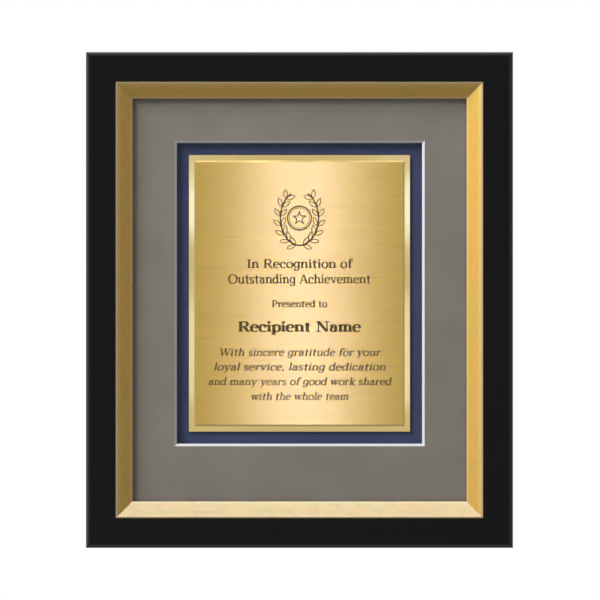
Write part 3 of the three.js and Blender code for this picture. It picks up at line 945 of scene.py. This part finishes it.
def letter_t(p):
    return (p.line(0.16, 0.08, 0.16, 0.61) + p.curve(0.255, 0.085, 0.095, 0.085, 180, 300)
            + p.line(0.01, 0.45, 0.345, 0.45, "thin"))


def letter_u(p):
    return (p.stem(0.12, 0.15, 0.47, None, "flag") + p.curve(0.26, 0.165, 0.14, 0.165, 180, 350)
            + p.stem(0.41, 0, 0.47, (0, 1), "flag"))


def letter_y(p):
    return (p.line(0.09, 0.45, 0.25, 0.02, "thick") + p.bar(0.09, 0.453) + p.bar(0.41, 0.453)
            + p.line(0.41, 0.45, 0.205, -0.13, "thin") + p.ball(0.15, -0.155))


def capital_r(p):
    return (p.stem(0.15, 0, 0.68, (1, 1), (1, 0)) + p.line(0.15, 0.663, 0.36, 0.663, "thin")
            + p.line(0.15, 0.34, 0.36, 0.34, "thin") + p.curve(0.36, 0.5015, 0.155, 0.1615, -90, 90)
            + p.line(0.33, 0.33, 0.55, 0.02, "thick") + p.bar(0.585, 0.017, 0.6, 0.8))


def capital_w(p):
    return (p.line(0.08, 0.66, 0.27, 0.01, "thick") + p.line(0.27, 0.01, 0.45, 0.66, "thin")
            + p.line(0.43, 0.66, 0.62, 0.01, "thick") + p.line(0.62, 0.01, 0.80, 0.66, "thin")
            + p.bar(0.08, 0.663) + p.bar(0.44, 0.663) + p.bar(0.80, 0.663))


GLYPHS = {
    " ": (0.26, lambda p: []),
    ",": (0.22, lambda p: p.ball(0.10, 0.05) + p.line(0.13, 0.04, 0.07, -0.11, "thin")),
    "a": (0.46, letter_a),
    "c": (0.43, lambda p: p.curve(0.235, 0.235, 0.175, 0.235, 50, 318) + p.ball(0.345, 0.37)),
    "d": (0.51, letter_d),
    "e": (0.46, lambda p: (p.curve(0.235, 0.235, 0.175, 0.235, 5, 318)
                           + p.line(0.07, 0.26, 0.41, 0.26, "thin"))),
    "f": (0.33, letter_f),
    "g": (0.48, letter_g),
    "h": (0.53, letter_h),
    "i": (0.26, lambda p: p.stem(0.13, 0, 0.47, (1, 1), "flag") + p.ball(0.125, 0.62)),
    "k": (0.50, letter_k),
    "l": (0.26, lambda p: p.stem(0.13, 0, 0.73, (1, 1), "flag")),
    "m": (0.77, letter_m),
    "n": (0.53, letter_n),
    "o": (0.49, lambda p: p.curve(0.245, 0.235, 0.185, 0.235, 0, 360)),
    "p": (0.51, letter_p),
    "r": (0.38, lambda p: (p.stem(0.12, 0, 0.47, (1, 1), "flag") + p.curve(0.255, 0.30, 0.135, 0.155, 165, 70)
                           + p.ball(0.32, 0.42))),
    "s": (0.38, letter_s),
    "t": (0.36, letter_t),
    "u": (0.53, letter_u),
    "v": (0.49, lambda p: (p.line(0.09, 0.45, 0.25, 0.01, "thick") + p.line(0.25, 0.01, 0.41, 0.45, "thin")
                           + p.bar(0.09, 0.453) + p.bar(0.41, 0.453))),
    "w": (0.70, lambda p: (p.line(0.08, 0.45, 0.22, 0.01, "thick") + p.line(0.22, 0.01, 0.35, 0.45, "thin")
                           + p.line(0.34, 0.45, 0.48, 0.01, "thick") + p.line(0.48, 0.01, 0.62, 0.45, "thin")
                           + p.bar(0.08, 0.453) + p.bar(0.35, 0.453) + p.bar(0.62, 0.453))),
    "y": (0.49, letter_y),
    "A": (0.68, lambda p: (p.line(0.09, 0.01, 0.34, 0.68, "thin") + p.line(0.34, 0.68, 0.59, 0.01, "thick")
                           + p.line(0.18, 0.24, 0.49, 0.24, "thin")
                           + p.bar(0.09, 0.017) + p.bar(0.60, 0.017))),
    "I": (0.33, lambda p: p.stem(0.165, 0, 0.68, (1, 1), (1, 1))),
    "N": (0.74, lambda p: (p.line(0.14, 0, 0.14, 0.67, "thin") + p.line(0.60, 0.01, 0.60, 0.68, "thin")
                           + p.line(0.14, 0.67, 0.60, 0.01, "thick") + p.bar(0.14, 0.017)
                           + p.bar(0.12, 0.663) + p.bar(0.60, 0.663))),
    "O": (0.74, lambda p: p.curve(0.37, 0.34, 0.30, 0.35, 0, 360)),
    "P": (0.58, lambda p: (p.stem(0.15, 0, 0.68, (1, 1), (1, 0)) + p.line(0.15, 0.663, 0.34, 0.663, "thin")
                           + p.line(0.15, 0.31, 0.34, 0.31, "thin")
                           + p.curve(0.34, 0.4865, 0.165, 0.1765, -90, 90))),
    "R": (0.66, capital_r),
    "W": (0.89, capital_w),
}


def add_strip(mesh, strip, spot):
    """A thin closed inlay over one strip; spot(x, y, depth) gives a corner's place."""
    left, right, closed = strip
    quads = []
    for a, b in zip(left, right):
        quads.append([mesh.verts.new(spot(*a, 0)), mesh.verts.new(spot(*b, 0)),
                      mesh.verts.new(spot(*b, 1)), mesh.verts.new(spot(*a, 1))])
    for first, second in zip(quads, quads[1:]):
        join_rings(mesh, first, second)
    if closed:
        join_rings(mesh, quads[-1], quads[0])
    else:
        mesh.faces.new(quads[0])
        mesh.faces.new(quads[-1])


plate_low, plate_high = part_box("engraved_plate")
plate_middle = (plate_low.z + plate_high.z) / 2


def on_plate(x, z, depth):
    """A place on the plate's face, in mm from its middle; depth 0 is proud of it and 1 sunk in it."""
    y = plate_low.y + (INLAY_SUNK * depth - INLAY_PROUD * (1 - depth)) * MM
    return (x * MM, y, plate_middle + z * MM)


def lettering(name, text, base, cap, width, thick=0.13, thin=0.074, lean=0.0):
    """One centred line: its baseline above the plate's middle, its capitals' height and its width, in mm."""
    pen = Pen(thick, thin)
    size = cap / CAP_HEIGHT
    natural = sum(GLYPHS[letter][0] for letter in text) * size
    stretch = width / natural
    mesh = bmesh.new()
    start = -width / 2

    def spot(x, y, depth):
        return on_plate(start + (x + lean * y) * size * stretch, base + y * size, depth)

    for letter in text:
        advance, draw = GLYPHS[letter]
        for strip in draw(pen):
            add_strip(mesh, strip, spot)
        start += advance * size * stretch
    return piece(name, mesh, (OXIDE,))


def leaf(x, z, heading):
    """The outline band of one pointed leaf, from its stalk along its heading in degrees."""
    turn = math.radians(heading)
    outer, inner = [], []
    shares = [i / 7 for i in range(8)]
    for side in (1, -1):
        for share in shares[::side]:
            swell = LEAF_WIDTH / 2 * math.sin(math.pi * share) ** 0.75
            inner_swell = swell if share in (0, 1) else swell - LEAF_LINE
            for points, out, pull in ((outer, swell, 0), (inner, inner_swell, LEAF_LINE * 1.6)):
                reach = min(max(LEAF_LENGTH * share, pull), LEAF_LENGTH - pull)
                points.append((x + reach * math.cos(turn) - side * out * math.sin(turn),
                               z + reach * math.sin(turn) + side * out * math.cos(turn)))
    return (outer, inner, True)


def stalk(side):
    """One half of the wreath, from just past the bottom up to its tip."""
    turns = [math.radians(STALK_START + STALK_SWEEP * i / STALK_STEPS) for i in range(STALK_STEPS + 1)]
    return [(side * WREATH_HALF_WIDTH * math.cos(turn), EMBLEM_MIDDLE + WREATH_HALF_HEIGHT * math.sin(turn))
            for turn in turns]


def star():
    """The outline band of a five-pointed star."""
    outer, inner = [], []
    for i in range(10):
        turn = math.radians(90 + 36 * i)
        radius = STAR_RADIUS if i % 2 == 0 else STAR_NOTCH
        for points, share in ((outer, 1), (inner, STAR_INSIDE)):
            x, z = radius * share * math.cos(turn), radius * share * math.sin(turn)
            points.append((x, EMBLEM_MIDDLE + z))
    return (outer, inner, True)


def emblem():
    """A generic laurel wreath round a ringed five-pointed star."""
    bold, fine = Pen(BOLD_LINE, BOLD_LINE), Pen(FINE_LINE, FINE_LINE)
    strips = []
    for side in (1, -1):
        line = stalk(side)
        strips.append(bold.stroke(line))
        for i in range(LEAF_EVERY, STALK_STEPS, LEAF_EVERY):
            (x0, z0), (x1, z1) = line[i - 1], line[i + 1]
            heading = math.degrees(math.atan2(z1 - z0, x1 - x0))
            strips += [leaf(*line[i], heading + LEAF_SPREAD), leaf(*line[i], heading - LEAF_SPREAD)]
    strips += bold.curve(0, EMBLEM_MIDDLE, OUTER_RING, OUTER_RING, 0, 360)
    strips += fine.curve(0, EMBLEM_MIDDLE, INNER_RING, INNER_RING, 0, 360)
    strips.append(star())
    mesh = bmesh.new()
    for strip in strips:
        add_strip(mesh, strip, on_plate)
    return piece("laurel_emblem", mesh, (OXIDE,))


# ---- The plaque ----

slips = {}
for side in SIDES:
    rail(side)
    slips[side] = gold_slip(side)
    eased(f"mat_spacer_{side}", f"spacer_strip_{side}", FOAM, 0.3)
top_mat()
eased("lower_mat", "navy_mat_board", NAVY_PAPER, 0.1)
base = eased("plate_base", "polished_base", POLISHED_BRASS, PLATE_BORDER_EASE, steps=4)
sheet = engraved_plate()
eased("glazing", "glass_sheet", GLASS, 0.25)
eased("backing_board", "hardboard_back", HARDBOARD, 0.3)
emblem()
lettering("line_occasion", "In Recognition of", 23.3, 7.9, 97)
lettering("line_honour", "Outstanding Achievement", 9.2, 8.0, 131)
lettering("line_presented", "Presented to", -12.7, 6.2, 51, 0.14, 0.082)
lettering("line_recipient", "Recipient Name", -35.1, 9.3, 113, 0.17, 0.072)
for which, text, base_line, width in (
    ("first", "With sincere gratitude for your", -57.3, 148),
    ("second", "loyal service, lasting dedication", -70.6, 158),
    ("third", "and many years of good work shared", -84.1, 168),
    ("fourth", "with the whole team", -97.7, 90),
):
    lettering(f"line_thanks_{which}", text, base_line, 6.6, width, thick=0.118, thin=0.078, lean=0.2)

for button in BUTTONS:
    eased(f"turn_button_{button}", f"turn_tab_{button}", ZINC, 0.22, f"button_{button}")
    eased(f"button_screw_{button}", f"tab_screw_{button}", ZINC, 0.12)
for side in ("left", "right"):
    eased(f"plate_tape_{side}", f"foam_tape_{side}", FOAM, 0.1)
    eased(f"hanger_strap_{side}", f"ring_strap_{side}", ZINC, 0.15)
    eased(f"hanger_screw_{side}", f"strap_screw_{side}", ZINC, 0.12)
    d_ring(side)
    bumper(side)
for nail in NAILS:
    eased(f"corner_nail_{nail}", f"mitre_nail_{nail}", ZINC, 0.1)

# ---- Studio ----


def camera():
    lens, width, shift = 600, 0.549, 0.5 * MM  # the view takes in this width at the frame's front
    data = bpy.data.cameras.new("camera")
    data.lens = lens
    made = bpy.data.objects.new("camera", data)
    made.location = (shift, cad_low.y - width * lens / data.sensor_width, 0)
    made.rotation_euler = (math.radians(90), 0, 0)
    bpy.context.scene.collection.objects.link(made)
    bpy.context.scene.camera = made


def soft_light(name, place, size, power, aim=(0, 0, 0), height=None, colour=(1, 1, 1)):
    """An area lamp: round, or a rectangle when it has a height."""
    data = bpy.data.lights.new(name, "AREA")
    data.shape = "RECTANGLE" if height else "DISK"
    data.size = size
    data.size_y = height or size
    data.energy = power
    data.color = colour
    made = bpy.data.objects.new(name, data)
    made.location = place
    made.rotation_euler = (Vector(aim) - Vector(place)).to_track_quat("-Z", "Y").to_euler()
    made.visible_camera = False
    bpy.context.scene.collection.objects.link(made)
    return made


def flagged(lamp, pieces, state):
    """Keeps a lamp to some pieces (INCLUDE), or off them (EXCLUDE), as flags do in a studio."""
    listed = bpy.data.collections.new(f"{lamp.name}_flags")
    for made in pieces:
        listed.objects.link(made)
    lamp.light_linking.receiver_collection = listed
    for link in listed.collection_objects:
        link.light_linking.link_state = state


def only_on(lamp, *pieces):
    flagged(lamp, pieces, "INCLUDE")


def floor():
    """A plain pale floor, well below the hanging plaque. It glows a little, but doesn't light the plaque."""
    mesh = bmesh.new()
    size, drop = 2.2, 1.3
    corners = ((-size, -size), (size, -size), (size, size), (-size, size))
    mesh.faces.new([mesh.verts.new((x, y, -drop)) for x, y in corners])
    f = paint("pale_floor")
    f.set({
        "Base Color": rgb(0.7, 0.7, 0.69),
        "Roughness": 0.9,
        "Emission Color": rgb(1, 1, 0.99),
        "Emission Strength": 0.34,
    })
    made = into_scene("floor", mesh, (f.owner,))
    made.visible_diffuse = False
    made.visible_glossy = False


def room_light():
    """Soft light from all round: strongest from behind, then the front, the left, the right and below."""
    world = bpy.data.worlds.new("room")
    bpy.context.scene.world = world
    f = Finish(world, "ShaderNodeBackground", "ShaderNodeOutputWorld")
    way = f.node("ShaderNodeTexCoord", {}, {}, "Generated")

    def lobe(direction):
        sockets = {0: way, 1: Vector(direction).normalized()}
        facing = f.node("ShaderNodeVectorMath", {"operation": "DOT_PRODUCT"}, sockets, "Value")
        return facing.math("MAXIMUM", facing, 0.0)

    front = lobe((0, -1, 0)) ** 14
    left = lobe((-0.93, -0.37, 0)) ** 3
    behind = lobe((0, 1, 0))
    right = lobe((0.93, -0.37, 0)) ** 3
    below = lobe((0, -0.5, -0.87)) ** 3
    strength = front * 0.58 + left * 0.46 + right * 0.28 + behind * 0.88 + below * 0.19 + 0.2
    seen = f.node("ShaderNodeLightPath", {}, {}, "Is Camera Ray")
    f.set({
        "Color": rgb(1.0, 1.0, 1.0),
        "Strength": seen + (1 - seen) * strength,
    })


camera()
floor()
room_light()
lower_aim = (0, 0, -0.2)
key = soft_light("key", (-2.4, -1.6, 2.4), 1.92, 204)
flagged(key, [slips["bottom"]], "EXCLUDE")
soft_light("overhead", (0, -0.5, 1.0), 0.9, 1.3, lower_aim, 0.15)
# An upright band of light down the engraved plate.
band = soft_light("band", (0.002, -1.1, 0), 0.085, 2.15, (0.002, 0, 0), 1.2, (0.94, 1.06, 3.0))
only_on(band, sheet)
# The key is kept off the bottom slip, and these two stand in for it there.
skylight = soft_light("skylight", (0, -0.46, 1.0), 0.9, 4.0, lower_aim, 0.2, (0.85, 1.0, 1.15))
only_on(skylight, slips["bottom"])
kicker = soft_light("kicker", (0, -0.9, -0.7), 0.9, 0.5, lower_aim, 0.16, (0.85, 1.0, 1.7))
only_on(kicker, slips["bottom"])
# Pale patches on the left and right of the polished border.
for x in (-0.1045, 0.1045):
    upper = soft_light("upper_pane", (x, -0.5, 0.092), 0.03, 0.0054, (x, 0, 0.092), 0.055, (1.0, 1.45, 3.2))
    lower = soft_light("lower_pane", (x, -0.5, -0.05), 0.03, 0.0060, (x, 0, -0.05), 0.1, (0.91, 1.15, 2.1))
    only_on(upper, base)
    only_on(lower, base)
bpy.context.scene.view_settings.view_transform = "Standard"
